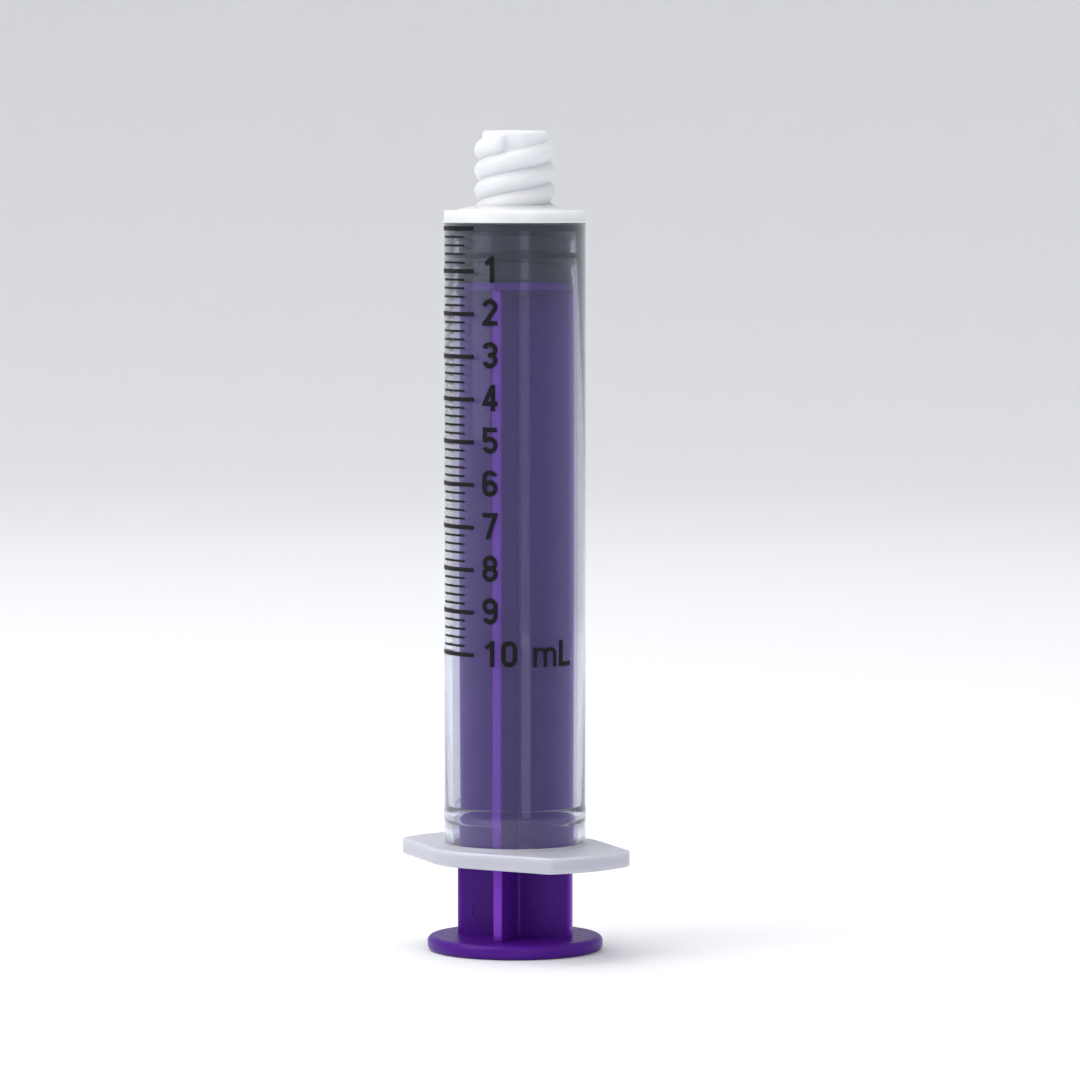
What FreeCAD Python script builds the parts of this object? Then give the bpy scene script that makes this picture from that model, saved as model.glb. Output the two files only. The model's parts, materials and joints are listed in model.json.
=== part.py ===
"""A 10 mL enteral (oral) syringe with a threaded tip, plunger pushed fully home.

The syringe stands on its thumb plate. The origin is the middle of the plate's underside, +Z runs
along the syringe to the tip, the finger flange is longest along X, and the scale faces -Y.
All lengths are in millimetres and all angles in degrees, in plan from +X towards +Y.
"""

import FreeCAD
import Part
import math
import os

# --- driving dimensions -------------------------------------------------------------------------

# barrel tube
BORE_RADIUS = 7.80
BARREL_RADIUS = 8.75
BARREL_FOOT_Z = 11.15  # open end, level with the flange's underside
BORE_END_Z = 90.30  # inner face of the end wall
SHOULDER_Z = 91.80  # outer face of the end wall
SHOULDER_ROUND = 0.30
BORE_CORNER_ROUND = 0.25
BORE_LEAD_IN = 0.30
PARTING_LIP_Z = 90.45  # mould parting line just above the bore's end
PARTING_LIP_HEIGHT = 0.50
PARTING_LIP_PROUD = 0.10

# retention ring: a bead inside the bore that stops the plunger from coming out
RING_Z = 17.05
RING_HEIGHT = 2.00
RING_PROUD_INSIDE = 0.30
RING_PROUD_OUTSIDE = 0.10

# finger flange
FLANGE_THICKNESS = 2.00
FLANGE_HALF_LENGTH = 15.80  # its two ends are arcs about the barrel's axis
FLANGE_END_HALF_WIDTH = 6.70
FLANGE_WAIST_RADIUS = 11.10  # the round middle, about the barrel's axis
FLANGE_CORNER_RADIUS = 1.00
FLANGE_EDGE_ROUND = 0.28
FLANGE_TO_TUBE_ROUND = 0.35

# threaded tip
TIP_TOP_Z = 101.60
TIP_ROOT_RADIUS = 4.03
TIP_TOP_ROUND = 0.55
FLARE_RADIUS = 7.05  # where the tip's foot spreads out over the shoulder
FLARE_RISE = 0.15
FLARE_MIDDLE_OUT = 0.36  # the flare's middle point, as a share of its width
FLARE_MIDDLE_UP = 0.30  # and as a share of its rise
NECK_Z = 92.90
GROOVE_WIDTH = 0.22  # fine groove round the foot of the flare
GROOVE_DEPTH = 0.15
LUMEN_RADIUS = 1.50
SOCKET_SEAT_RADIUS = 2.80
SOCKET_MOUTH_RADIUS = 2.92
SOCKET_MOUTH_CHAMFER = 0.22
SOCKET_FLOOR_Z = 94.40
SOCKET_SEAT_TOP_Z = 98.40

# two-start right-hand thread outside the tip
THREAD_LEAD = 5.00
THREAD_STARTS = 2
THREAD_CREST_RADIUS = 5.00
THREAD_CREST_FLAT = 0.60
THREAD_UPPER_FLANK = 0.84
THREAD_LOWER_FLANK = 1.02
THREAD_CORNER = 0.24
THREAD_END_ANGLE = -54.0  # plan angle of the first start's blunt upper end
THREAD_END_Z = 100.32  # crest height there
THREAD_TURNS = 1.72  # each start, down into the flare
THREAD_BURIED = 0.25  # how far the swept profile reaches into the tip

# rubber stopper
STOPPER_TOP_Z = 90.20
STOPPER_FOOT_Z = 83.30
STOPPER_BODY_RADIUS = 7.00
STOPPER_FOOT_RADIUS = 7.15
STOPPER_FOOT_STEP_Z = 84.40
STOPPER_SEAL_RADIUS = 7.75
SEAL_HEIGHT = 0.62
SEAL_FLANK = 0.50
LOWER_SEAL_Z = 86.35  # middle of the lower sealing rib
STOPPER_EDGE = 0.25

# snap-in joint between the plunger rod and the stopper
NECK_RADIUS = 2.75
NECK_CLEARANCE = 0.05
HEAD_RADIUS = 4.20
HEAD_TOP_RADIUS = 2.50
HEAD_CLEARANCE = 0.10
LIP_THICKNESS = 1.40  # rubber lip that the rod's head sits behind
HEAD_RIM_HEIGHT = 1.20
HEAD_CONE_HEIGHT = 1.20

# plunger rod
PLATE_RADIUS = 10.90
PLATE_THICKNESS = 1.80
PLATE_RIM_ROUND = 0.70
RIB_RADIUS = 7.35
RIB_THICKNESS = 1.05
RIB_COUNT = 4
RIB_ANGLE = -57.0  # plan angle of the rib nearest the scale
RIB_EDGE_ROUND = 0.14
RIB_ROOT_ROUND = 0.40  # round along the line where the ribs cross
DISC_RADIUS = 7.30
DISC_THICKNESS = 1.10
DISC_EDGE_ROUND = 0.20
DISC_GAP = 0.10  # between the disc and the stopper's foot
EJECTOR_RADIUS = 1.50  # round ejector-pin marks on the ribs' flat faces
EJECTOR_DEPTH = 0.08
EJECTOR_OUT = 3.90
EJECTOR_Z = 4.60

# printed scale
INK_THICKNESS = 0.05
SCALE_VOLUME_ML = 10
SCALE_LINES_PER_ML = 5
ZERO_LINE_Z = 89.60
MM_PER_ML = 5.232
MINOR_LINE = (-118.6, -84.7, 0.26)  # first angle, last angle, height
MAJOR_LINE = (-133.0, -74.8, 0.52)
GLYPH_HEIGHT = 3.25
GLYPH_WIDTH = 2.00
GLYPH_STROKE = 0.58
GLYPH_DEPTH = 1.00  # of the flat characters before they are cut down to the ink's thickness
NUMERAL_ANGLE = -66.8  # where each numeral's left side starts
NUMERAL_RISE = 0.25  # of a numeral's middle above its line
GLYPH_SPACE = 0.42
UNIT_GAP = 2.00  # from the 10 to its unit
SMALL_LETTER_HEIGHT = 2.45
SMALL_M_WIDTH = 3.10
SMALL_M_STROKE = 0.48
CAPITAL_L_WIDTH = 1.80

AXIS = FreeCAD.Vector(0, 0, 1)
TINY = 1e-6


# --- helpers ------------------------------------------------------------------------------------


def on_axis(z):
    return FreeCAD.Vector(0, 0, z)


def profile_point(radius, z):
    """A point of a lathe profile, in the plane that is turned about the Z axis."""
    return FreeCAD.Vector(radius, 0, z)


def line(start, end):
    return Part.LineSegment(profile_point(*start), profile_point(*end)).toShape()


def arc(start, middle, end):
    points = [profile_point(*point) for point in (start, middle, end)]
    return Part.Arc(*points).toShape()


def turned(steps):
    """The solid turned from a closed profile.

    Each step is a corner (radius, z), or a pair of points, the middle and the end of an arc that
    starts where the step before it ended.
    """
    edges = []
    here = steps[-1][-1] if isinstance(steps[-1][0], tuple) else steps[-1]
    for step in steps:
        if isinstance(step[0], tuple):
            middle, end = step
            edges.append(arc(here, middle, end))
        else:
            end = step
            edges.append(line(here, end))
        here = end
    face = Part.Face(Part.Wire(edges))
    return face.revolve(on_axis(0), AXIS, 360)


def rounded(centre, radius, first, last):
    """An arc step about a centre, from one angle to another in the profile plane."""
    middle = (first + last) / 2
    points = []
    for angle in (middle, last):
        turn = math.radians(angle)
        points.append((centre[0] + radius * math.cos(turn), centre[1] + radius * math.sin(turn)))
    return tuple(points)


def cylinder(radius, low, high):
    return Part.makeCylinder(radius, high - low, on_axis(low))


def fused(shapes):
    whole = shapes[0]
    if len(shapes) > 1:
        whole = whole.fuse(shapes[1:])
    return whole.removeSplitter()


def plan(radius, angle, z=0.0):
    turn = math.radians(angle)
    return FreeCAD.Vector(radius * math.cos(turn), radius * math.sin(turn), z)


# --- barrel -------------------------------------------------------------------------------------


def flange():
    """The finger flange: a round middle drawn out to two wide ends, its edges softened."""
    corner_y = FLANGE_END_HALF_WIDTH - FLANGE_CORNER_RADIUS
    corner_reach = FLANGE_HALF_LENGTH - FLANGE_CORNER_RADIUS
    corner_x = math.sqrt(corner_reach**2 - corner_y**2)
    corner_angle = math.degrees(math.atan2(corner_y, corner_x))
    # the straight sides touch the round middle and the corner rounds
    touch = corner_angle + math.degrees(
        math.acos((FLANGE_WAIST_RADIUS - FLANGE_CORNER_RADIUS) / corner_reach)
    )
    edges = []
    for side in (0, 180):
        start = plan(FLANGE_HALF_LENGTH, side - corner_angle)
        end = plan(FLANGE_HALF_LENGTH, side + corner_angle)
        edges.append(Part.Arc(start, plan(FLANGE_HALF_LENGTH, side), end).toShape())

        centre = plan(corner_reach, side + corner_angle)
        middle = centre + plan(FLANGE_CORNER_RADIUS, side + (corner_angle + touch) / 2)
        corner_end = centre + plan(FLANGE_CORNER_RADIUS, side + touch)
        edges.append(Part.Arc(end, middle, corner_end).toShape())

        waist_start = plan(FLANGE_WAIST_RADIUS, side + touch)
        waist_end = plan(FLANGE_WAIST_RADIUS, side + 180 - touch)
        edges.append(Part.LineSegment(corner_end, waist_start).toShape())
        waist_middle = plan(FLANGE_WAIST_RADIUS, side + 90)
        edges.append(Part.Arc(waist_start, waist_middle, waist_end).toShape())

        far_centre = plan(corner_reach, side + 180 - corner_angle)
        far_start = far_centre + plan(FLANGE_CORNER_RADIUS, side + 180 - touch)
        far_middle = far_centre + plan(
            FLANGE_CORNER_RADIUS, side + 180 - (corner_angle + touch) / 2
        )
        far_end = plan(FLANGE_HALF_LENGTH, side + 180 - corner_angle)
        edges.append(Part.LineSegment(waist_end, far_start).toShape())
        edges.append(Part.Arc(far_start, far_middle, far_end).toShape())
    outline = Part.Wire(edges)
    outline.translate(on_axis(BARREL_FOOT_Z))
    slab = Part.Face(outline).extrude(on_axis(FLANGE_THICKNESS))
    rim = []
    for edge in slab.Edges:
        box = edge.BoundBox
        if box.ZLength < TINY:
            rim.append(edge)
    return slab.makeFillet(FLANGE_EDGE_ROUND, rim)


def barrel_turning():
    """The tube, its end wall and the plain tip, hollow all the way through."""
    flange_top = BARREL_FOOT_Z + FLANGE_THICKNESS
    ring_low = RING_Z - RING_HEIGHT / 2
    ring_high = RING_Z + RING_HEIGHT / 2
    lip_low = PARTING_LIP_Z - PARTING_LIP_HEIGHT / 2
    lip_high = PARTING_LIP_Z + PARTING_LIP_HEIGHT / 2
    groove_outer = FLARE_RADIUS + GROOVE_WIDTH
    flare_z = SHOULDER_Z + FLARE_RISE
    flare_middle = (
        TIP_ROOT_RADIUS + (FLARE_RADIUS - TIP_ROOT_RADIUS) * FLARE_MIDDLE_OUT,
        flare_z + (NECK_Z - flare_z) * FLARE_MIDDLE_UP,
    )
    return turned(
        [
            # up the bore, over the retention ring
            (BORE_RADIUS, BARREL_FOOT_Z + BORE_LEAD_IN),
            (BORE_RADIUS, ring_low),
            ((BORE_RADIUS - RING_PROUD_INSIDE, RING_Z), (BORE_RADIUS, ring_high)),
            (BORE_RADIUS, BORE_END_Z - BORE_CORNER_ROUND),
            rounded(
                (BORE_RADIUS - BORE_CORNER_ROUND, BORE_END_Z - BORE_CORNER_ROUND),
                BORE_CORNER_ROUND,
                0,
                90,
            ),
            # in to the lumen and up through the tip's socket
            (LUMEN_RADIUS, BORE_END_Z),
            (LUMEN_RADIUS, SOCKET_FLOOR_Z),
            (SOCKET_SEAT_RADIUS, SOCKET_FLOOR_Z),
            (SOCKET_SEAT_RADIUS, SOCKET_SEAT_TOP_Z),
            (SOCKET_MOUTH_RADIUS, TIP_TOP_Z - SOCKET_MOUTH_CHAMFER),
            (SOCKET_MOUTH_RADIUS + SOCKET_MOUTH_CHAMFER, TIP_TOP_Z),
            # over the tip's rim and down to its flared foot
            (TIP_ROOT_RADIUS - TIP_TOP_ROUND, TIP_TOP_Z),
            rounded(
                (TIP_ROOT_RADIUS - TIP_TOP_ROUND, TIP_TOP_Z - TIP_TOP_ROUND),
                TIP_TOP_ROUND,
                90,
                0,
            ),
            (TIP_ROOT_RADIUS, NECK_Z),
            (flare_middle, (FLARE_RADIUS, flare_z)),
            # the fine groove, then the shoulder
            (FLARE_RADIUS + GROOVE_WIDTH / 2, SHOULDER_Z - GROOVE_DEPTH),
            (groove_outer, SHOULDER_Z),
            (BARREL_RADIUS - SHOULDER_ROUND, SHOULDER_Z),
            rounded(
                (BARREL_RADIUS - SHOULDER_ROUND, SHOULDER_Z - SHOULDER_ROUND),
                SHOULDER_ROUND,
                90,
                0,
            ),
            # down the outside
            (BARREL_RADIUS, lip_high),
            ((BARREL_RADIUS + PARTING_LIP_PROUD, PARTING_LIP_Z), (BARREL_RADIUS, lip_low)),
            (BARREL_RADIUS, ring_high),
            ((BARREL_RADIUS + RING_PROUD_OUTSIDE, RING_Z), (BARREL_RADIUS, ring_low)),
            (BARREL_RADIUS, flange_top + FLANGE_TO_TUBE_ROUND),
            rounded(
                (BARREL_RADIUS + FLANGE_TO_TUBE_ROUND, flange_top + FLANGE_TO_TUBE_ROUND),
                FLANGE_TO_TUBE_ROUND,
                180,
                270,
            ),
            (BARREL_RADIUS + FLANGE_TO_TUBE_ROUND, BARREL_FOOT_Z),
            (BORE_RADIUS + BORE_LEAD_IN, BARREL_FOOT_Z),
        ]
    )


def thread_start(turn):
    """One start of the thread: a rounded trapezium swept down a helix from its blunt end."""
    root = TIP_ROOT_RADIUS - THREAD_BURIED
    reach = THREAD_CREST_RADIUS - TIP_ROOT_RADIUS
    upper_slope = THREAD_UPPER_FLANK / reach
    lower_slope = THREAD_LOWER_FLANK / reach
    crest_top = THREAD_CREST_FLAT / 2
    crest_foot = -THREAD_CREST_FLAT / 2
    inner_top = crest_top + THREAD_UPPER_FLANK + THREAD_BURIED * upper_slope
    inner_foot = crest_foot - THREAD_LOWER_FLANK - THREAD_BURIED * lower_slope
    helix_height = THREAD_LEAD * THREAD_TURNS
    # the swept path starts at the thread's foot, in the XZ plane
    outline = [
        (root, inner_foot),
        (THREAD_CREST_RADIUS - THREAD_CORNER, crest_foot - THREAD_CORNER * lower_slope),
        (THREAD_CREST_RADIUS, crest_foot + THREAD_CORNER),
        (THREAD_CREST_RADIUS, crest_top - THREAD_CORNER),
        (THREAD_CREST_RADIUS - THREAD_CORNER, crest_top + THREAD_CORNER * upper_slope),
        (root, inner_top),
    ]
    corners = [profile_point(*corner) for corner in outline]
    section = Part.makePolygon(corners + corners[:1])
    helix = Part.makeHelix(THREAD_LEAD, helix_height, TIP_ROOT_RADIUS)
    sweep = Part.Wire(helix.Edges).makePipeShell([section], True, True)
    foot_angle = THREAD_END_ANGLE + turn - 360 * THREAD_TURNS
    sweep.rotate(on_axis(0), AXIS, foot_angle)
    sweep.translate(on_axis(THREAD_END_Z - helix_height))
    # the blunt end stops level with the tip's rim
    return sweep.common(cylinder(2 * THREAD_CREST_RADIUS, 0, TIP_TOP_Z))


def barrel():
    body = fused([barrel_turning(), flange().cut(cylinder(BARREL_RADIUS, 0, TIP_TOP_Z))])
    for start in range(THREAD_STARTS):
        body = body.fuse(thread_start(360 * start / THREAD_STARTS))
    return body


# --- stopper ------------------------------------------------------------------------------------


def stopper():
    """The rubber stopper: two sealing ribs, and a socket behind a lip for the rod's head."""
    seal_half = SEAL_HEIGHT / 2
    lower_top = LOWER_SEAL_Z + seal_half
    lower_foot = LOWER_SEAL_Z - seal_half
    upper_foot = STOPPER_TOP_Z - STOPPER_EDGE - SEAL_HEIGHT
    lip_z = STOPPER_FOOT_Z + LIP_THICKNESS
    rim_z = lip_z + HEAD_RIM_HEIGHT + 2 * HEAD_CLEARANCE
    hole_radius = NECK_RADIUS + NECK_CLEARANCE
    socket_radius = HEAD_RADIUS + HEAD_CLEARANCE
    socket_top = rim_z + HEAD_CONE_HEIGHT
    crown = STOPPER_SEAL_RADIUS - STOPPER_EDGE
    return turned(
        [
            (hole_radius, lip_z),
            (socket_radius, lip_z),
            (socket_radius, rim_z),
            (HEAD_TOP_RADIUS + HEAD_CLEARANCE, socket_top),
            (0, socket_top),
            # across the crown and down past the two seals
            (0, STOPPER_TOP_Z),
            (crown, STOPPER_TOP_Z),
            rounded((crown, STOPPER_TOP_Z - STOPPER_EDGE), STOPPER_EDGE, 90, 0),
            (STOPPER_SEAL_RADIUS, upper_foot),
            (STOPPER_BODY_RADIUS, upper_foot - SEAL_FLANK),
            (STOPPER_BODY_RADIUS, lower_top + SEAL_FLANK),
            (STOPPER_SEAL_RADIUS, lower_top),
            (STOPPER_SEAL_RADIUS, lower_foot),
            (STOPPER_BODY_RADIUS, lower_foot - SEAL_FLANK),
            (STOPPER_BODY_RADIUS, STOPPER_FOOT_STEP_Z),
            (STOPPER_FOOT_RADIUS, STOPPER_FOOT_STEP_Z),
            (STOPPER_FOOT_RADIUS, STOPPER_FOOT_Z + STOPPER_EDGE),
            (STOPPER_FOOT_RADIUS - STOPPER_EDGE, STOPPER_FOOT_Z),
            (hole_radius, STOPPER_FOOT_Z),
        ]
    )


# --- plunger rod --------------------------------------------------------------------------------


def rod_cross(low, high):
    """The cross-shaped shaft: four ribs with softened outer edges and a rounded crossing."""
    ribs = []
    for index in range(RIB_COUNT // 2):
        slab = Part.makeBox(
            2 * RIB_RADIUS,
            RIB_THICKNESS,
            high - low,
            FreeCAD.Vector(-RIB_RADIUS, -RIB_THICKNESS / 2, low),
        )
        upright = [
            edge
            for edge in slab.Edges
            if edge.BoundBox.XLength < TINY and edge.BoundBox.YLength < TINY
        ]
        slab = slab.makeFillet(RIB_EDGE_ROUND, upright)
        slab.rotate(on_axis(0), AXIS, RIB_ANGLE + 360 / RIB_COUNT * index)
        ribs.append(slab)
    cross = fused(ribs)
    inner = [
        edge
        for edge in cross.Edges
        if edge.BoundBox.ZLength > (high - low) / 2
        and math.hypot(edge.CenterOfMass.x, edge.CenterOfMass.y) < RIB_THICKNESS
    ]
    return cross.makeFillet(RIB_ROOT_ROUND, inner)


def ejector_marks():
    """Shallow round marks low on both flat faces of every rib."""
    marks = []
    face = RIB_THICKNESS / 2
    for index in range(RIB_COUNT):
        for side in (1, -1):
            start = FreeCAD.Vector(EJECTOR_OUT, side * (face - EJECTOR_DEPTH), EJECTOR_Z)
            mark = Part.makeCylinder(EJECTOR_RADIUS, face, start, FreeCAD.Vector(0, side, 0))
            mark.rotate(on_axis(0), AXIS, RIB_ANGLE + 360 / RIB_COUNT * index)
            marks.append(mark)
    return marks


def plunger_rod():
    """Thumb plate, cross-ribbed shaft, top disc, and the head that snaps into the stopper."""
    disc_top = STOPPER_FOOT_Z - DISC_GAP
    disc_foot = disc_top - DISC_THICKNESS
    head_foot = STOPPER_FOOT_Z + LIP_THICKNESS + HEAD_CLEARANCE
    head_rim = head_foot + HEAD_RIM_HEIGHT
    head_top = head_rim + HEAD_CONE_HEIGHT - HEAD_CLEARANCE
    flat_radius = PLATE_RADIUS - PLATE_RIM_ROUND
    plate = turned(
        [
            (0, 0),
            (flat_radius, 0),
            rounded((flat_radius, PLATE_RIM_ROUND), PLATE_RIM_ROUND, -90, 0),
            (PLATE_RADIUS, PLATE_THICKNESS - PLATE_RIM_ROUND),
            rounded((flat_radius, PLATE_THICKNESS - PLATE_RIM_ROUND), PLATE_RIM_ROUND, 0, 90),
            (0, PLATE_THICKNESS),
        ]
    )
    edge_radius = DISC_RADIUS - DISC_EDGE_ROUND
    top = turned(
        [
            (0, disc_foot),
            (edge_radius, disc_foot),
            rounded((edge_radius, disc_foot + DISC_EDGE_ROUND), DISC_EDGE_ROUND, -90, 0),
            (DISC_RADIUS, disc_top - DISC_EDGE_ROUND),
            rounded((edge_radius, disc_top - DISC_EDGE_ROUND), DISC_EDGE_ROUND, 0, 90),
            (NECK_RADIUS, disc_top),
            (NECK_RADIUS, head_foot),
            (HEAD_RADIUS, head_foot),
            (HEAD_RADIUS, head_rim),
            (HEAD_TOP_RADIUS, head_top),
            (0, head_top),
        ]
    )
    shaft = rod_cross(PLATE_THICKNESS / 2, disc_foot + DISC_THICKNESS / 2)
    shaft = shaft.cut(ejector_marks())
    return fused([plate, shaft, top])


# --- printed scale ------------------------------------------------------------------------------


def ink_shell():
    """The thin layer round the barrel that all the printing is cut from."""
    outer = cylinder(BARREL_RADIUS + INK_THICKNESS, RING_Z + RING_HEIGHT, BORE_END_Z)
    return outer.cut(cylinder(BARREL_RADIUS, 0, TIP_TOP_Z))


def ink_line(z, first, last, height):
    """One graduation: a patch of ink from one plan angle to another, centred on a height."""
    radius = BARREL_RADIUS
    section = Part.makePolygon(
        [
            profile_point(radius, z - height / 2),
            profile_point(radius + INK_THICKNESS, z - height / 2),
            profile_point(radius + INK_THICKNESS, z + height / 2),
            profile_point(radius, z + height / 2),
            profile_point(radius, z - height / 2),
        ]
    )
    patch = Part.Face(section).revolve(on_axis(0), AXIS, last - first)
    patch.rotate(on_axis(0), AXIS, first)
    return patch


def scale_lines():
    lines = []
    for index in range(SCALE_VOLUME_ML * SCALE_LINES_PER_ML + 1):
        z = ZERO_LINE_Z - index * MM_PER_ML / SCALE_LINES_PER_ML
        kind = MAJOR_LINE if index % SCALE_LINES_PER_ML == 0 else MINOR_LINE
        lines.append(ink_line(z, *kind))
    return Part.makeCompound(lines)


def bar(x0, y0, x1, y1, width=GLYPH_STROKE):
    """A straight pen stroke between two points, as a flat face in the XY plane."""
    run = math.hypot(x1 - x0, y1 - y0)
    side_x = -(y1 - y0) / run * width / 2
    side_y = (x1 - x0) / run * width / 2
    corners = [
        FreeCAD.Vector(x0 + side_x, y0 + side_y),
        FreeCAD.Vector(x0 - side_x, y0 - side_y),
        FreeCAD.Vector(x1 - side_x, y1 - side_y),
        FreeCAD.Vector(x1 + side_x, y1 + side_y),
    ]
    return Part.Face(Part.makePolygon(corners + corners[:1]))


def bow(x, y, radius, first, last, width=GLYPH_STROKE):
    """A round pen stroke about a centre, from one angle to another, as a flat face."""

    def at(reach, angle):
        return FreeCAD.Vector(x, y, 0) + plan(reach, angle)

    outer = radius + width / 2
    inner = radius - width / 2
    middle = (first + last) / 2
    edges = [
        Part.Arc(at(outer, first), at(outer, middle), at(outer, last)).toShape(),
        Part.LineSegment(at(outer, last), at(inner, last)).toShape(),
        Part.Arc(at(inner, last), at(inner, middle), at(inner, first)).toShape(),
        Part.LineSegment(at(inner, first), at(outer, first)).toShape(),
    ]
    return Part.Face(Part.Wire(edges))


def glyph_strokes(name):
    """The pen strokes of one character, its lower left corner at the origin, and its width."""
    half = GLYPH_STROKE / 2
    left = half
    right = GLYPH_WIDTH - half
    centre = GLYPH_WIDTH / 2
    top = GLYPH_HEIGHT - half
    low = half
    middle = GLYPH_HEIGHT / 2
    wide = centre - half  # radius of a bowl as wide as the character
    high_bowl = GLYPH_HEIGHT - half - wide
    low_bowl = half + wide
    small = (middle - half) / 2  # radius of the stacked bowls of 3 and 8
    half_m = SMALL_M_STROKE / 2
    letter_top = SMALL_LETTER_HEIGHT - half_m
    arch = (SMALL_M_WIDTH - SMALL_M_STROKE) / 4
    flag_foot = top - 2.4 * half  # of the 1
    crossbar = low + 2.2 * half  # of the 4
    strokes = {
        "0": [
            bow(centre, high_bowl, wide, 0, 180),
            bow(centre, low_bowl, wide, 180, 360),
            bar(left, low_bowl, left, high_bowl),
            bar(right, low_bowl, right, high_bowl),
        ],
        "1": [
            bar(centre + half, 0, centre + half, GLYPH_HEIGHT),
            bar(centre - 2 * half, flag_foot, centre + half, top),
        ],
        "2": [
            bow(centre, high_bowl, wide, -28, 170),
            bar(left + 0.08, low, right - 0.05, high_bowl - 0.28),
            bar(0, low, GLYPH_WIDTH, low),
        ],
        "3": [
            bow(centre, high_bowl, wide, -72, 165),
            bow(centre, low_bowl, wide, -165, 72),
            bar(centre - half, middle, centre + 2 * half, middle),
        ],
        "4": [
            bar(right - half, 0, right - half, GLYPH_HEIGHT),
            bar(0, crossbar, GLYPH_WIDTH, crossbar),
            bar(left, crossbar, right - half - 0.1, top),
        ],
        "5": [
            bow(centre, low_bowl + 0.08, wide + 0.04, -160, 142),
            bar(left + 0.06, middle - 0.1, left + 0.06, GLYPH_HEIGHT),
            bar(left - 0.2, top, GLYPH_WIDTH - 0.1, top),
            bar(left + 0.06, middle - 0.02, centre, middle + 0.2),
        ],
        "6": [
            bow(centre, low_bowl + 0.02, wide, 0, 180),
            bow(centre, low_bowl, wide, 180, 360),
            bow(centre, high_bowl, wide, 20, 180),
            bar(left, low_bowl, left, high_bowl),
        ],
        "7": [
            bar(0, top, GLYPH_WIDTH, top),
            bar(right, top, centre - half, 0),
        ],
        "8": [
            bow(centre, GLYPH_HEIGHT - half - small, small, 0, 180),
            bow(centre, GLYPH_HEIGHT - half - small, small, 180, 360),
            bow(centre, low_bowl, wide, 0, 180),
            bow(centre, low_bowl, wide, 180, 360),
        ],
        "9": [
            bow(centre, high_bowl, wide, 0, 180),
            bow(centre, high_bowl - 0.02, wide, 180, 360),
            bow(centre, low_bowl, wide, 200, 360),
            bar(right, low_bowl, right, high_bowl),
        ],
        "m": [
            bar(half_m, 0, half_m, SMALL_LETTER_HEIGHT, SMALL_M_STROKE),
            bow(half_m + arch, letter_top - arch, arch, 0, 180, SMALL_M_STROKE),
            bar(half_m + 2 * arch, 0, half_m + 2 * arch, letter_top - arch, SMALL_M_STROKE),
            bow(half_m + 3 * arch, letter_top - arch, arch, 0, 180, SMALL_M_STROKE),
            bar(half_m + 4 * arch, 0, half_m + 4 * arch, letter_top - arch, SMALL_M_STROKE),
        ],
        "L": [
            bar(half, 0, half, GLYPH_HEIGHT),
            bar(0, half, CAPITAL_L_WIDTH, half),
        ],
    }
    widths = {"m": SMALL_M_WIDTH, "L": CAPITAL_L_WIDTH}
    return strokes[name], widths.get(name, GLYPH_WIDTH)


def printed_glyph(name, z, offset, shell):
    """One character in ink, its left side at an arc length round the barrel, centred on z."""
    strokes, width = glyph_strokes(name)
    prisms = []
    for stroke in strokes:
        prisms.append(stroke.extrude(FreeCAD.Vector(0, 0, GLYPH_DEPTH)))
    shape = prisms[0].fuse(prisms[1:])
    box = Part.makeBox(width, GLYPH_HEIGHT, GLYPH_DEPTH)
    shape = shape.common(box)
    # stand it upright, facing out, with its middle on the -Y side of the barrel
    shape.translate(FreeCAD.Vector(-width / 2, -GLYPH_HEIGHT / 2, -GLYPH_DEPTH / 2))
    shape.rotate(FreeCAD.Vector(), FreeCAD.Vector(1, 0, 0), 90)
    shape.translate(FreeCAD.Vector(0, -BARREL_RADIUS, z))
    angle = NUMERAL_ANGLE + math.degrees((offset + width / 2) / BARREL_RADIUS)
    shape.rotate(on_axis(0), AXIS, angle + 90)
    return shape.common(shell), width


def printed_text(text, z, offset, shell):
    """A row of characters, and the arc length at which it ends."""
    glyphs = []
    for name in text:
        glyph, width = printed_glyph(name, z, offset, shell)
        glyphs += glyph.Solids
        offset += width + GLYPH_SPACE
    return glyphs, offset


def scale_text():
    """The numerals beside the major lines, and the unit beside the last of them."""
    shell = ink_shell()
    numerals = []
    for volume in range(1, SCALE_VOLUME_ML + 1):
        z = ZERO_LINE_Z - volume * MM_PER_ML + NUMERAL_RISE
        glyphs, end = printed_text(str(volume), z, 0, shell)
        numerals += glyphs
    unit, _ = printed_text("mL", z, end - GLYPH_SPACE + UNIT_GAP, shell)
    return Part.makeCompound(numerals), Part.makeCompound(unit)


# --- files --------------------------------------------------------------------------------------


def main():
    numerals, unit = scale_text()
    nodes = {
        "barrel": barrel(),
        "stopper": stopper(),
        "plunger_rod": plunger_rod(),
        "scale_lines": scale_lines(),
        "scale_numerals": numerals,
        "scale_unit": unit,
    }
    os.makedirs("parts", exist_ok=True)
    for name, shape in nodes.items():
        shape.exportStep(f"parts/{name}.step")
        print(name, len(shape.Solids), round(shape.Volume, 2), shape.isValid())


main()
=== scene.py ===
"""The looks of a 10 mL oral syringe with a threaded tip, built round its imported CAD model.

The frame is in metres, +Z up the syringe, with the finger flange along X and the scale on the -Y
side. The barrel and the stopper are lathed here as fine meshes that stand for their CAD nodes. The
plunger rod and the printed scale are the CAD's own meshes with finished materials.
"""

import json
import math

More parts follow.
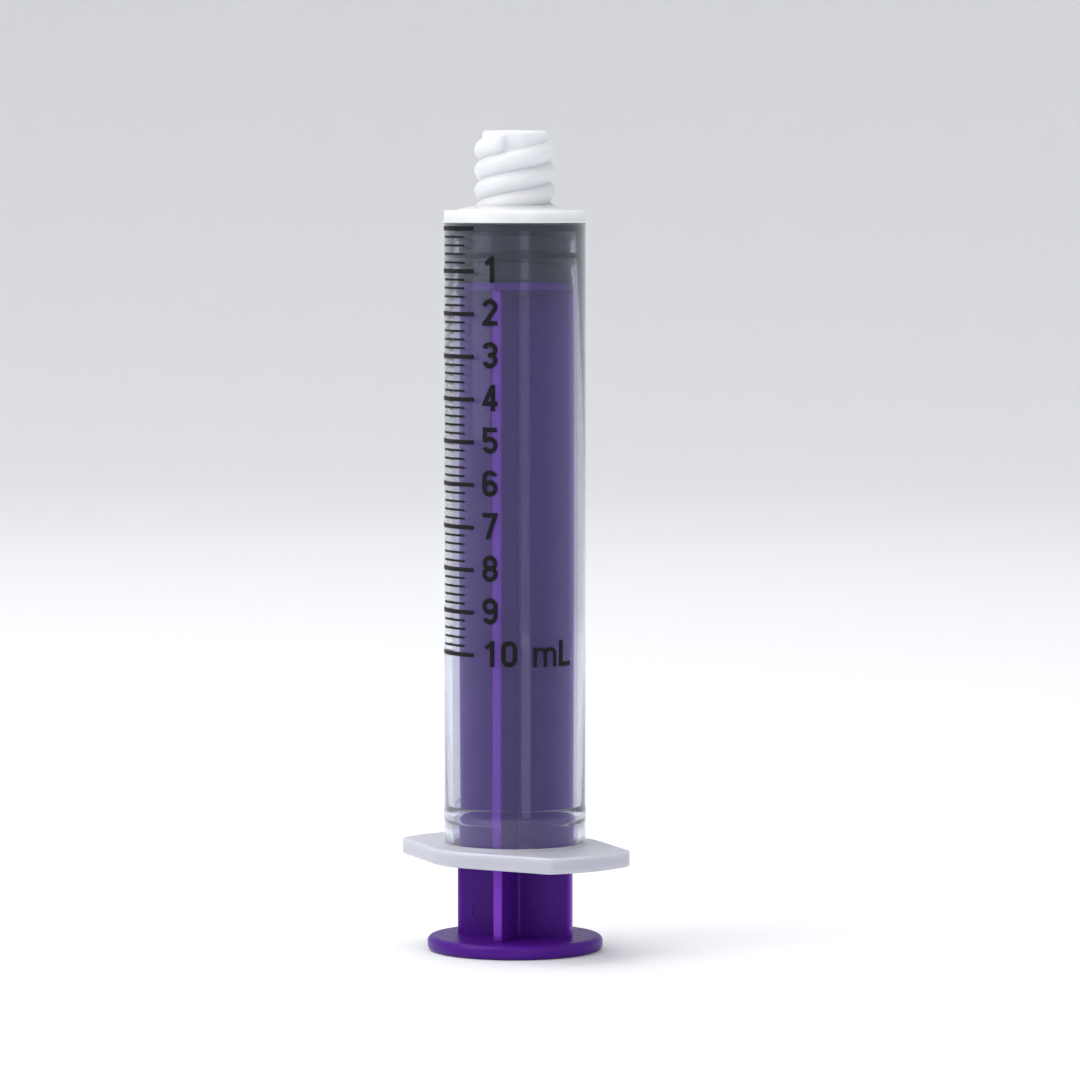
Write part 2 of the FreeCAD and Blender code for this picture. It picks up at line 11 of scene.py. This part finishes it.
import bpy
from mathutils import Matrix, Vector

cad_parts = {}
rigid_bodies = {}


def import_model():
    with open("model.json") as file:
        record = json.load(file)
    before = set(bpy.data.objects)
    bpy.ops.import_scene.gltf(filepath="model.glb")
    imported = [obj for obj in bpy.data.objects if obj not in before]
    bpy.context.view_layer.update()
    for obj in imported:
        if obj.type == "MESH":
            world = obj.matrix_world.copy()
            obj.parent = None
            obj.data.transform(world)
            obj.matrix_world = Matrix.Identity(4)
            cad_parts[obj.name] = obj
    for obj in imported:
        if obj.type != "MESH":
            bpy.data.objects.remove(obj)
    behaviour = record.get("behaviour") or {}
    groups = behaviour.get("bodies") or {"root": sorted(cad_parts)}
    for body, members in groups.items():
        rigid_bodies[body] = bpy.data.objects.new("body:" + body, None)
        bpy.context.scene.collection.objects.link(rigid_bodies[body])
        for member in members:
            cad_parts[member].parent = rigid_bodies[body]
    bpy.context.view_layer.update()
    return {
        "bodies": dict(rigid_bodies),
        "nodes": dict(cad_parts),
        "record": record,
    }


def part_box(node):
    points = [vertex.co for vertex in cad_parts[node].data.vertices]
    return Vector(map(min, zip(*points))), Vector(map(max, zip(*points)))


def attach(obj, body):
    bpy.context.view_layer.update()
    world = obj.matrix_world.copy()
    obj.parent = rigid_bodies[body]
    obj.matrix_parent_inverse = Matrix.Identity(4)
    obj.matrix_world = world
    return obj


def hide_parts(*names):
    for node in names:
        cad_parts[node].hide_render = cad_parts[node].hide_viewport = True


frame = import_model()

MM = 0.001


# --- sizes, in metres, from the frame and a few driving dimensions -------------------------------

barrel_low, barrel_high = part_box("barrel")
stopper_low, stopper_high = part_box("stopper")
mounts = {mount["name"]: mount for mount in frame["record"]["mounts"]}

BARREL_FOOT = barrel_low[2]
TIP_TOP = barrel_high[2]
FLANGE_HALF_LENGTH = barrel_high[0]
WAIST_RADIUS = barrel_high[1]
BARREL_RADIUS = mounts["barrel_outside"]["dims"]["r_mm"] * MM
SEAT_RADIUS = mounts["tip_socket"]["dims"]["r_mm"] * MM
WALL = 0.95 * MM
BORE_RADIUS = BARREL_RADIUS - WALL

# flange
FLANGE_TOP = BARREL_FOOT + 2.0 * MM
FLANGE_END_HALF_WIDTH = 6.7 * MM
FLANGE_CORNER = 1.0 * MM
FLANGE_EDGE = 0.28 * MM
FLANGE_FILLET = 0.35 * MM
BORE_LEAD_IN = 0.30 * MM

# retention ring
RING_Z = BARREL_FOOT + 5.90 * MM
RING_HALF = 1.00 * MM
RING_INSIDE = 0.30 * MM
RING_OUTSIDE = 0.10 * MM
RING_POWER = 0.7  # under 1 gives the bead a flat top and steep flanks

# end wall and shoulder
SHOULDER = TIP_TOP - 9.8 * MM
BORE_END = SHOULDER - 1.5 * MM
SHOULDER_ROUND = 0.30 * MM
BORE_CORNER = 0.25 * MM
PARTING_Z = SHOULDER - 1.35 * MM
PARTING_HALF = 0.25 * MM
PARTING_PROUD = 0.10 * MM
PARTING_POWER = 1.5
PARTING_STEPS = 6

# tip and its thread
ROOT_RADIUS = 4.03 * MM
RIM_ROUND = 0.55 * MM
FLARE_RADIUS = 7.05 * MM
FLARE_FOOT = SHOULDER + 0.15 * MM
FLARE_POWER = 2.2
NECK_Z = TIP_TOP - 8.70 * MM
GROOVE_WIDTH = 0.22 * MM
GROOVE_DEPTH = 0.15 * MM
LUMEN_RADIUS = 1.50 * MM
LUMEN_CHAMFER = 0.10 * MM
MOUTH_RADIUS = SEAT_RADIUS + 0.12 * MM
MOUTH_CHAMFER = 0.22 * MM
SOCKET_FLOOR = TIP_TOP - 7.20 * MM
SEAT_TOP = TIP_TOP - 3.20 * MM
THREAD_LEAD = 5.0 * MM
THREAD_STARTS = 2
THREAD_HEIGHT = 0.97 * MM
UPPER_REACH = 1.27 * MM
LOWER_REACH = 1.50 * MM
LOBE_POWER = 2.2
THREAD_END_ANGLE = -54.0
THREAD_END_DEPTH = 1.28 * MM  # crest height below the rim, at the blunt end
THREAD_TURNS = 1.72
THREAD_END_ROUND = 17.0  # degrees over which the blunt end rounds off

# stopper
SEAL_RADIUS = BORE_RADIUS + 0.01 * MM  # squeezed against the wall, so no air lies between them
STOPPER_BODY = 7.00 * MM
STOPPER_FOOT_RADIUS = 7.15 * MM
STOPPER_STEP = stopper_low[2] + 1.10 * MM
STOPPER_STEP_SLOPE = 0.10 * MM
SEAL_HEIGHT = 0.62 * MM
SEAL_FLANK = 0.50 * MM
LOWER_SEAL = stopper_low[2] + 3.05 * MM
STOPPER_EDGE = 0.25 * MM
NECK_HOLE = 2.80 * MM
LIP = 1.40 * MM
SOCKET_RADIUS = 4.30 * MM
SOCKET_RIM = 1.40 * MM
SOCKET_CONE = 1.20 * MM
SOCKET_TOP_RADIUS = 2.60 * MM

# plunger rod
PLATE_TOP = 1.8 * MM
RIB_RADIUS = 7.35 * MM
RIB_PAINTED_GLOW = 0.5 * MM  # how far in from a rib's edge the painted glow reaches, painted light standing in for light through the thin rib
PAINTED_GLOW_RISE = 1.0 * MM  # above the plate, over which the painted glow comes in
PAINTED_GLOW_FADE = 0.3 * MM  # below the disc, over which the painted glow goes out
DISC_FOOT = stopper_low[2] - 1.2 * MM  # underside of the disc at the ribs' top

# camera
CAMERA_AZIMUTH = 50.0
CAMERA_DISTANCE = 690.0 * MM
CAMERA_HEIGHT = 96.0 * MM
AIM_HEIGHT = 51.0 * MM
CAMERA_OFFSET = 3.1 * MM
CAMERA_LENS = 186.0

TIP_ROW_SPACING = 0.075 * MM
LATHE_SEGMENTS = 288
FLOOR_SEGMENTS = 96
SHARP_ANGLE = math.radians(32)


# --- mesh helpers --------------------------------------------------------------------------------


def make_piece(name, points, faces, body, node):
    """A smooth-shaded mesh piece that rides on a CAD body and stands for a CAD node."""
    mesh = bpy.data.meshes.new(name)
    mesh.from_pydata(points, [], faces)
    mesh.validate()
    mesh.polygons.foreach_set("use_smooth", [True] * len(mesh.polygons))
    mesh.set_sharp_from_angle(angle=SHARP_ANGLE)
    piece = bpy.data.objects.new(name, mesh)
    bpy.context.scene.collection.objects.link(piece)
    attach(piece, body)
    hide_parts(node)
    return piece


def arc_points(radius, z, size, first, last, steps=5):
    """Points (radius, z) along an arc of a profile, angles in degrees."""
    points = []
    for step in range(steps + 1):
        turn = math.radians(first + (last - first) * step / steps)
        points.append((radius + size * math.cos(turn), z + size * math.sin(turn)))
    return points


def bead_points(radius, z, half, proud, power, steps=12):
    """Points (radius, z) over a low rounded bead on a wall, from below to above."""
    points = []
    for step in range(steps + 1):
        share = step / steps
        bulge = max(math.sin(math.pi * share), 0.0) ** power
        points.append((radius + proud * bulge, z + half * (2 * share - 1)))
    return points


def turned_points(profile, segments):
    """Every point (radius, z) of a profile turned into a ring about the Z axis."""
    points = []
    for radius, z in profile:
        for segment in range(segments):
            angle = 2 * math.pi * segment / segments
            points.append((radius * math.cos(angle), radius * math.sin(angle), z))
    return points


def lathe_faces(row_count, segments, closed_rows):
    """Quads between the rings of a lathe, the last joined to the first if closed_rows."""
    faces = []
    last_row = row_count if closed_rows else row_count - 1
    for row in range(last_row):
        here = row * segments
        above = (row + 1) % row_count * segments
        for segment in range(segments):
            along = (segment + 1) % segments
            faces.append((here + segment, above + segment, above + along, here + along))
    return faces


# --- barrel --------------------------------------------------------------------------------------


def flange_outline(angle):
    """Radius of the flange's outline at a plan angle, in radians."""
    turn = math.atan2(abs(math.sin(angle)), abs(math.cos(angle)))
    reach = FLANGE_HALF_LENGTH - FLANGE_CORNER
    corner_angle = math.asin((FLANGE_END_HALF_WIDTH - FLANGE_CORNER) / reach)
    touch = corner_angle + math.acos((WAIST_RADIUS - FLANGE_CORNER) / reach)
    corner_end_x = reach * math.cos(corner_angle) + FLANGE_CORNER * math.cos(touch)
    corner_end_y = reach * math.sin(corner_angle) + FLANGE_CORNER * math.sin(touch)
    if turn <= corner_angle:
        return FLANGE_HALF_LENGTH
    if turn <= math.atan2(corner_end_y, corner_end_x):
        off = turn - corner_angle
        return reach * math.cos(off) + math.sqrt(FLANGE_CORNER**2 - (reach * math.sin(off)) ** 2)
    if turn <= touch:
        return WAIST_RADIUS / math.cos(turn - touch)
    return WAIST_RADIUS


def thread_profile(offset, end_share):
    """Height of the thread, 0 to 1, at a distance above its crest line.

    It is a rounded lobe, and end_share rounds it off towards the blunt end.
    """
    reach = UPPER_REACH if offset > 0 else LOWER_REACH
    share = abs(offset) / reach
    return max(1 - share**LOBE_POWER - end_share**LOBE_POWER, 0.0)


def thread_radius(angle, z):
    """Radius of the two-start thread at a plan angle in degrees and a height."""
    best = 0.0
    for start in range(THREAD_STARTS):
        end_angle = THREAD_END_ANGLE + 360 * start / THREAD_STARTS
        back = (end_angle - angle) % 360
        while back < 360 * THREAD_TURNS:
            crest = TIP_TOP - THREAD_END_DEPTH - THREAD_LEAD * back / 360
            end_share = max(1 - back / THREAD_END_ROUND, 0.0)
            best = max(best, thread_profile(z - crest, end_share))
            back += 360
    return ROOT_RADIUS + THREAD_HEIGHT * best if best > 0 else 0.0


def tip_core_radius(z):
    """Radius of the tip without its thread: rounded rim, straight neck and flared foot."""
    rim_start = TIP_TOP - RIM_ROUND
    if z > rim_start:
        drop = min(z - rim_start, RIM_ROUND)
        return ROOT_RADIUS - RIM_ROUND + math.sqrt(RIM_ROUND**2 - drop**2)
    if z > NECK_Z:
        return ROOT_RADIUS
    share = (NECK_Z - z) / (NECK_Z - FLARE_FOOT)
    return ROOT_RADIUS + (FLARE_RADIUS - ROOT_RADIUS) * share**FLARE_POWER


def barrel_inside():
    """Profile up the bore, through the lumen and the socket, to the inner edge of the rim."""
    points = [(BORE_RADIUS + BORE_LEAD_IN, BARREL_FOOT)]
    points += [(BORE_RADIUS, BARREL_FOOT + BORE_LEAD_IN)]
    points += bead_points(BORE_RADIUS, RING_Z, RING_HALF, -RING_INSIDE, RING_POWER)
    points += arc_points(BORE_RADIUS - BORE_CORNER, BORE_END - BORE_CORNER, BORE_CORNER, 0, 90)
    points += [(LUMEN_RADIUS + LUMEN_CHAMFER, BORE_END)]
    points += [(LUMEN_RADIUS, BORE_END + LUMEN_CHAMFER)]
    points += [(LUMEN_RADIUS, SOCKET_FLOOR)]
    points += [(SEAT_RADIUS, SOCKET_FLOOR)]
    points += [(SEAT_RADIUS, SEAT_TOP)]
    points += [(MOUTH_RADIUS, TIP_TOP - MOUTH_CHAMFER)]
    points += [(MOUTH_RADIUS + MOUTH_CHAMFER, TIP_TOP)]
    return points


def tip_heights():
    """Heights down the outside of the tip, close together where the shape curves."""
    heights = []
    rim_steps = 8
    for step in range(rim_steps + 1):
        turn = math.pi / 2 * step / rim_steps
        heights.append(TIP_TOP - RIM_ROUND * (1 - math.cos(turn)))
    rows = round((heights[-1] - FLARE_FOOT) / TIP_ROW_SPACING)
    for row in range(1, rows + 1):
        heights.append(heights[-1] - (TIP_TOP - RIM_ROUND - FLARE_FOOT) / rows)
    return heights


def barrel_outside():
    """Profile from the flared foot of the tip down to the flange's fillet."""
    points = [(FLARE_RADIUS + GROOVE_WIDTH / 2, SHOULDER - GROOVE_DEPTH)]
    points += [(FLARE_RADIUS + GROOVE_WIDTH, SHOULDER)]
    points += arc_points(
        BARREL_RADIUS - SHOULDER_ROUND, SHOULDER - SHOULDER_ROUND, SHOULDER_ROUND, 90, 0
    )
    parting_line = bead_points(
        BARREL_RADIUS, PARTING_Z, PARTING_HALF, PARTING_PROUD, PARTING_POWER, PARTING_STEPS
    )
    points += reversed(parting_line)
    points += reversed(bead_points(BARREL_RADIUS, RING_Z, RING_HALF, RING_OUTSIDE, RING_POWER))
    points += arc_points(
        BARREL_RADIUS + FLANGE_FILLET, FLANGE_TOP + FLANGE_FILLET, FLANGE_FILLET, 180, 270
    )
    return points


def flange_rows():
    """Inset from the outline and height of each row round the flange's rim, top to bottom."""
    edge = FLANGE_EDGE
    rows = []
    for inset, rise in arc_points(0, 0, edge, 90, 0, 4):
        rows.append((edge - inset, FLANGE_TOP - edge + rise))
    for inset, rise in arc_points(0, 0, edge, 0, -90, 4):
        rows.append((edge - inset, BARREL_FOOT + edge + rise))
    return rows


def build_barrel():
    """One closed lathed mesh: bore, socket, threaded tip, shoulder, tube and flange."""
    segments = LATHE_SEGMENTS
    angles = [2 * math.pi * segment / segments for segment in range(segments)]
    rows = []
    for radius, z in barrel_inside():
        rows.append([(radius, z)] * segments)
    for z in tip_heights():
        core = tip_core_radius(z)
        row = []
        for angle in angles:
            radius = max(core, thread_radius(math.degrees(angle), z))
            row.append((radius, z))
        rows.append(row)
    for radius, z in barrel_outside():
        rows.append([(radius, z)] * segments)
    outline = [flange_outline(angle) for angle in angles]
    for inset, z in flange_rows():
        rows.append([(radius - inset, z) for radius in outline])
    points = []
    for row in rows:
        for angle, (radius, z) in zip(angles, row):
            points.append((radius * math.cos(angle), radius * math.sin(angle), z))
    faces = lathe_faces(len(rows), segments, closed_rows=True)
    return make_piece("barrel_moulding", points, faces, "barrel", "barrel")


# --- stopper -------------------------------------------------------------------------------------


def stopper_profile():
    """Closed half section of the stopper, starting inside at the top of its socket."""
    foot = stopper_low[2]
    top = stopper_high[2]
    seal_half = SEAL_HEIGHT / 2
    rim = foot + LIP + SOCKET_RIM
    crown = SEAL_RADIUS - STOPPER_EDGE
    upper_foot = top - STOPPER_EDGE - SEAL_HEIGHT
    points = [(0.0, rim + SOCKET_CONE), (SOCKET_TOP_RADIUS, rim + SOCKET_CONE)]
    points += [(SOCKET_RADIUS, rim), (SOCKET_RADIUS, foot + LIP)]
    points += [(NECK_HOLE, foot + LIP), (NECK_HOLE, foot)]
    points += [(STOPPER_FOOT_RADIUS - STOPPER_EDGE, foot)]
    points += [(STOPPER_FOOT_RADIUS, foot + STOPPER_EDGE)]
    points += [(STOPPER_FOOT_RADIUS, STOPPER_STEP)]
    points += [(STOPPER_BODY, STOPPER_STEP + STOPPER_STEP_SLOPE)]
    points += [(STOPPER_BODY, LOWER_SEAL - seal_half - SEAL_FLANK)]
    points += [(SEAL_RADIUS, LOWER_SEAL - seal_half), (SEAL_RADIUS, LOWER_SEAL + seal_half)]
    points += [(STOPPER_BODY, LOWER_SEAL + seal_half + SEAL_FLANK)]
    points += [(STOPPER_BODY, upper_foot - SEAL_FLANK), (SEAL_RADIUS, upper_foot)]
    points += arc_points(crown, top - STOPPER_EDGE, STOPPER_EDGE, 0, 90)
    points += [(0.0, top)]
    return points


def build_stopper():
    """The rubber piston, lathed from its half section."""
    segments = LATHE_SEGMENTS
    profile = stopper_profile()
    # from the crown's edge down, round the foot and up to the socket's top, without the two centres
    rings = profile[-2:0:-1]
    points = turned_points(rings, segments)
    faces = lathe_faces(len(rings), segments, closed_rows=False)
    faces.append(tuple(range(segments)))
    last = (len(rings) - 1) * segments
    faces.append(tuple(reversed(range(last, last + segments))))
    return make_piece("stopper_rubber", points, faces, "stopper", "stopper")


# --- materials -----------------------------------------------------------------------------------


class Material:
    """A node material with short calls for adding and linking nodes."""

    def __init__(self, name):
        self.data = bpy.data.materials.new(name)
        self.data.use_nodes = True
        self.nodes = self.data.node_tree.nodes
        self.links = self.data.node_tree.links
        self.nodes.clear()
        self.output = self.nodes.new("ShaderNodeOutputMaterial")
        self.place = self.add("ShaderNodeTexCoord").outputs["Object"]

    def add(self, kind, **settings):
        node = self.nodes.new(kind)
        for key, value in settings.items():
            setattr(node, key, value)
        return node

    def link(self, source, target):
        self.links.new(source, target)

    def set(self, node, **values):
        """Sets inputs by name, with _ for a space."""
        for key, value in values.items():
            node.inputs[key.replace("_", " ")].default_value = value

    def principled(self, **values):
        node = self.add("ShaderNodeBsdfPrincipled")
        self.set(node, **values)
        return node

    def noise(self, scale, detail=3.0, roughness=0.5):
        node = self.add("ShaderNodeTexNoise")
        self.link(self.place, node.inputs["Vector"])
        self.set(node, Scale=scale, Detail=detail, Roughness=roughness)
        return node.outputs["Fac"]

    def ramp(self, source, low, high, first, last):
        """Maps low..high of a value to first..last, clamped."""
        node = self.add("ShaderNodeMapRange", clamp=True)
        self.link(source, node.inputs["Value"])
        values = {"From Min": low, "From Max": high, "To Min": first, "To Max": last}
        for key, value in values.items():
            node.inputs[key].default_value = value
        return node.outputs["Result"]

    def mix_colour(self, factor, first, last):
        node = self.add("ShaderNodeMix", data_type="RGBA")
        self.link(factor, node.inputs["Factor"])
        node.inputs[6].default_value = (*first, 1)
        node.inputs[7].default_value = (*last, 1)
        return node.outputs[2]

    def bump(self, height, strength, distance):
        node = self.add("ShaderNodeBump")
        self.link(height, node.inputs["Height"])
        self.set(node, Strength=strength, Distance=distance)
        return node.outputs["Normal"]

    def finish(self, shader):
        self.link(shader, self.output.inputs["Surface"])
        return self.data


def clear_wall(name, clarity):
    """Natural polypropylene 1 mm thick: clear, faintly milky, softly glossy."""
    m = Material(name)
    shader = m.principled(
        IOR=1.49,
        Transmission_Weight=clarity,
        Base_Color=(0.68, 0.695, 0.765, 1),
        Specular_Tint=(0.36, 0.36, 0.50, 1),
        Sheen_Weight=0.5,
        Sheen_Roughness=0.45,
        Sheen_Tint=(0.80, 0.84, 0.95, 1),
    )
    m.link(m.ramp(m.noise(900.0), 0.3, 0.7, 0.015, 0.03), shader.inputs["Roughness"])
    m.link(m.bump(m.noise(140.0, 1.0), 0.03, 0.05 * MM), shader.inputs["Normal"])
    lamps_pass = m.add("ShaderNodeBsdfTransparent")
    m.set(lamps_pass, Color=(0.90, 0.90, 0.93, 1))
    mix = m.add("ShaderNodeMixShader")
    m.link(m.add("ShaderNodeLightPath").outputs["Is Shadow Ray"], mix.inputs["Fac"])
    m.link(shader.outputs["BSDF"], mix.inputs[1])
    m.link(lamps_pass.outputs["BSDF"], mix.inputs[2])
    return m.finish(mix.outputs["Shader"])


def milky_plastic(name, colour):
    """The same polypropylene where it is thick: white and translucent."""
    m = Material(name)
    shader = m.principled(
        Base_Color=(*colour, 1),
        IOR=1.49,
        Subsurface_Weight=0.8,
        Subsurface_Radius=(1.0, 1.1, 1.3),
        Subsurface_Scale=2.2 * MM,
    )
    m.link(m.ramp(m.noise(900.0), 0.3, 0.7, 0.29, 0.36), shader.inputs["Roughness"])
    m.link(m.bump(m.noise(140.0, 1.0), 0.03, 0.05 * MM), shader.inputs["Normal"])
    return m.finish(shader.outputs["BSDF"])


def purple_plastic():
    """Glossy deep purple polypropylene, with a painted glow along the thin edges of the ribs: a
    lighter purple painted in for light that comes through them.
    """
    m = Material("purple_polypropylene")
    shader = m.principled(Specular_IOR_Level=0.15)
    body = m.mix_colour(m.noise(160.0, 4.0), (0.060, 0.0050, 0.200), (0.072, 0.0062, 0.232))
    place = m.add("ShaderNodeSeparateXYZ")
    m.link(m.place, place.inputs["Vector"])
    flat = m.add("ShaderNodeCombineXYZ")
    m.link(place.outputs["X"], flat.inputs["X"])
    m.link(place.outputs["Y"], flat.inputs["Y"])
    across = m.add("ShaderNodeVectorMath", operation="LENGTH")
    m.link(flat.outputs["Vector"], across.inputs[0])
    # painted glow: the ribs' outer edges, between the plate and the disc, get a lighter purple that
    # stands in for light through the thin plastic
    near_edge = m.ramp(across.outputs["Value"], RIB_RADIUS - RIB_PAINTED_GLOW, RIB_RADIUS, 0.0, 1.0)
    above_plate = m.ramp(place.outputs["Z"], PLATE_TOP, PLATE_TOP + PAINTED_GLOW_RISE, 0.0, 1.0)
    below_disc = m.ramp(place.outputs["Z"], DISC_FOOT - PAINTED_GLOW_FADE, DISC_FOOT, 1.0, 0.0)
    on_ribs = m.add("ShaderNodeMath", operation="MULTIPLY")
    m.link(above_plate, on_ribs.inputs[0])
    m.link(below_disc, on_ribs.inputs[1])
    painted_glow = m.add("ShaderNodeMath", operation="MULTIPLY")
    m.link(near_edge, painted_glow.inputs[0])
    m.link(on_ribs.outputs["Value"], painted_glow.inputs[1])
    tone = m.add("ShaderNodeMix", data_type="RGBA")
    m.link(painted_glow.outputs["Value"], tone.inputs["Factor"])
    m.link(body, tone.inputs[6])
    # colour of the painted glow
    tone.inputs[7].default_value = (0.190, 0.036, 0.470, 1)
    m.link(tone.outputs[2], shader.inputs["Base Color"])
    m.link(m.ramp(m.noise(1200.0), 0.3, 0.7, 0.30, 0.40), shader.inputs["Roughness"])
    m.link(m.bump(m.noise(300.0, 2.0), 0.03, 0.03 * MM), shader.inputs["Normal"])
    return m.finish(shader.outputs["BSDF"])


def stopper_rubber():
    """Slate grey-blue rubber with a thin film of silicone oil."""
    m = Material("slate_rubber")
    shader = m.principled(Specular_IOR_Level=0.3)
    tone = m.mix_colour(m.noise(1500.0, 4.0), (0.0030, 0.0105, 0.0140), (0.0050, 0.0150, 0.0190))
    m.link(tone, shader.inputs["Base Color"])
    m.link(m.ramp(m.noise(2200.0), 0.3, 0.7, 0.32, 0.5), shader.inputs["Roughness"])
    m.link(m.bump(m.noise(4000.0, 3.0), 0.08, 0.02 * MM), shader.inputs["Normal"])
    return m.finish(shader.outputs["BSDF"])


def printed_ink():
    """Black pad-printed ink, slightly speckled."""
    m = Material("printed_ink")
    shader = m.principled(Specular_IOR_Level=0.15)
    speck = m.ramp(m.noise(9000.0, 2.0, 0.7), 0.56, 0.70, 0.0, 1.0)
    tone = m.mix_colour(speck, (0.002, 0.0025, 0.003), (0.022, 0.022, 0.024))
    m.link(tone, shader.inputs["Base Color"])
    m.link(m.ramp(m.noise(6000.0), 0.3, 0.7, 0.4, 0.6), shader.inputs["Roughness"])
    return m.finish(shader.outputs["BSDF"])


def dress(piece, *materials):
    """Gives a piece these materials in place of any it has."""
    piece.data.materials.clear()
    for material in materials:
        piece.data.materials.append(material)


# --- floor, light and camera ---------------------------------------------------------------------


def build_floor():
    """A pale studio floor that curves up to a low wall far away, all round.

    The syringe stands on its thumb plate, so the floor stays under the plate as the plunger moves.
    """
    flat = 1.0
    bend = 1.2
    wall_top = 2.6
    profile = [(flat * share, 0.0) for share in (0.1, 0.2, 0.4, 0.6, 0.8)]
    profile += arc_points(flat, bend, bend, -90, 0, 24)
    profile += [(flat + bend, wall_top)]
    points = turned_points(profile, FLOOR_SEGMENTS)
    faces = lathe_faces(len(profile), FLOOR_SEGMENTS, closed_rows=False)
    faces.append(tuple(range(FLOOR_SEGMENTS)))
    mesh = bpy.data.meshes.new("studio_floor")
    mesh.from_pydata(points, [], faces)
    mesh.polygons.foreach_set("use_smooth", [True] * len(mesh.polygons))
    floor = bpy.data.objects.new("studio_floor", mesh)
    bpy.context.scene.collection.objects.link(floor)
    m = Material("pale_floor")
    shader = m.principled(Base_Color=(0.84, 0.84, 0.85, 1), Roughness=0.9)
    dress(floor, m.finish(shader.outputs["BSDF"]))
    floor.parent = frame["bodies"]["plunger_rod"]


def soft_light(name, azimuth, elevation, distance, width, height, power):
    target = Vector((0, 0, AIM_HEIGHT))
    turn = math.radians(azimuth)
    lift = math.radians(elevation)
    flat = math.cos(lift)
    towards = Vector((math.sin(turn) * flat, -math.cos(turn) * flat, math.sin(lift)))
    data = bpy.data.lights.new(name, "AREA")
    data.shape = "RECTANGLE"
    data.size = width
    data.size_y = height
    data.energy = power
    light = bpy.data.objects.new(name, data)
    light.location = target + towards * distance
    light.rotation_euler = (-towards).to_track_quat("-Z", "Y").to_euler()
    light.visible_camera = False
    bpy.context.scene.collection.objects.link(light)


def build_light():
    """A soft key from the left, a strip by the camera, a side fill, a top light and a pale sky."""
    soft_light("key_softbox", CAMERA_AZIMUTH - 62, 38, 0.8, 0.5, 0.8, 3.4)
    soft_light("strip_softbox", CAMERA_AZIMUTH + 18, 8, 0.9, 0.24, 0.7, 1.5)
    soft_light("side_softbox", CAMERA_AZIMUTH + 80, 14, 0.6, 0.35, 0.6, 0.2)
    soft_light("top_softbox", CAMERA_AZIMUTH - 140, 70, 1.1, 0.9, 0.9, 6.5)
    world = bpy.data.worlds.new("pale_surround")
    world.use_nodes = True
    background = world.node_tree.nodes["Background"]
    background.inputs["Color"].default_value = (0.95, 0.97, 1.0, 1)
    background.inputs["Strength"].default_value = 0.8
    bpy.context.scene.world = world


def build_camera():
    """The eye slightly above the syringe, looking down on it by a few degrees."""
    turn = math.radians(CAMERA_AZIMUTH)
    back = Vector((math.sin(turn), -math.cos(turn), 0))
    right = Vector((math.cos(turn), math.sin(turn), 0))
    data = bpy.data.cameras.new("camera")
    data.sensor_width = 36.0
    data.lens = CAMERA_LENS
    data.clip_start = 0.01
    data.clip_end = 20.0
    camera = bpy.data.objects.new("camera", data)
    camera.location = back * CAMERA_DISTANCE + right * CAMERA_OFFSET + Vector((0, 0, CAMERA_HEIGHT))
    aim = right * CAMERA_OFFSET + Vector((0, 0, AIM_HEIGHT))
    camera.rotation_euler = (aim - camera.location).to_track_quat("-Z", "Y").to_euler()
    bpy.context.scene.collection.objects.link(camera)
    bpy.context.scene.camera = camera


# --- the scene -----------------------------------------------------------------------------------

build_camera()
barrel = build_barrel()
stopper = build_stopper()

wall = clear_wall("clear_polypropylene", 0.980)
# a hazier copy of the wall for the foot of the tube: painted light, its extra haze stands in for
# light reaching the foot from the flange
painted_haze_wall = clear_wall("foot_painted_haze_polypropylene", 0.955)
white = milky_plastic("white_polypropylene", (0.70, 0.705, 0.72))
hazy = milky_plastic("hazy_polypropylene", (0.47, 0.47, 0.52))
dress(barrel, wall, white, hazy, painted_haze_wall)
for polygon in barrel.data.polygons:
    z = polygon.center.z
    across = math.hypot(polygon.center.x, polygon.center.y)
    if z > BORE_END:
        polygon.material_index = 1  # end wall, shoulder and tip
    elif z < FLANGE_TOP + FLANGE_FILLET and across > BARREL_RADIUS:
        polygon.material_index = 2  # flange
    # foot of the tube, hazier: painted light for the light the flange throws into it
    elif z < RING_Z:
        polygon.material_index = 3  # foot of the tube
dress(stopper, stopper_rubber())
dress(frame["nodes"]["plunger_rod"], purple_plastic())
ink = printed_ink()
for node in ("scale_lines", "scale_numerals", "scale_unit"):
    dress(frame["nodes"][node], ink)

build_floor()
build_light()
bpy.context.scene.view_settings.view_transform = "Standard"
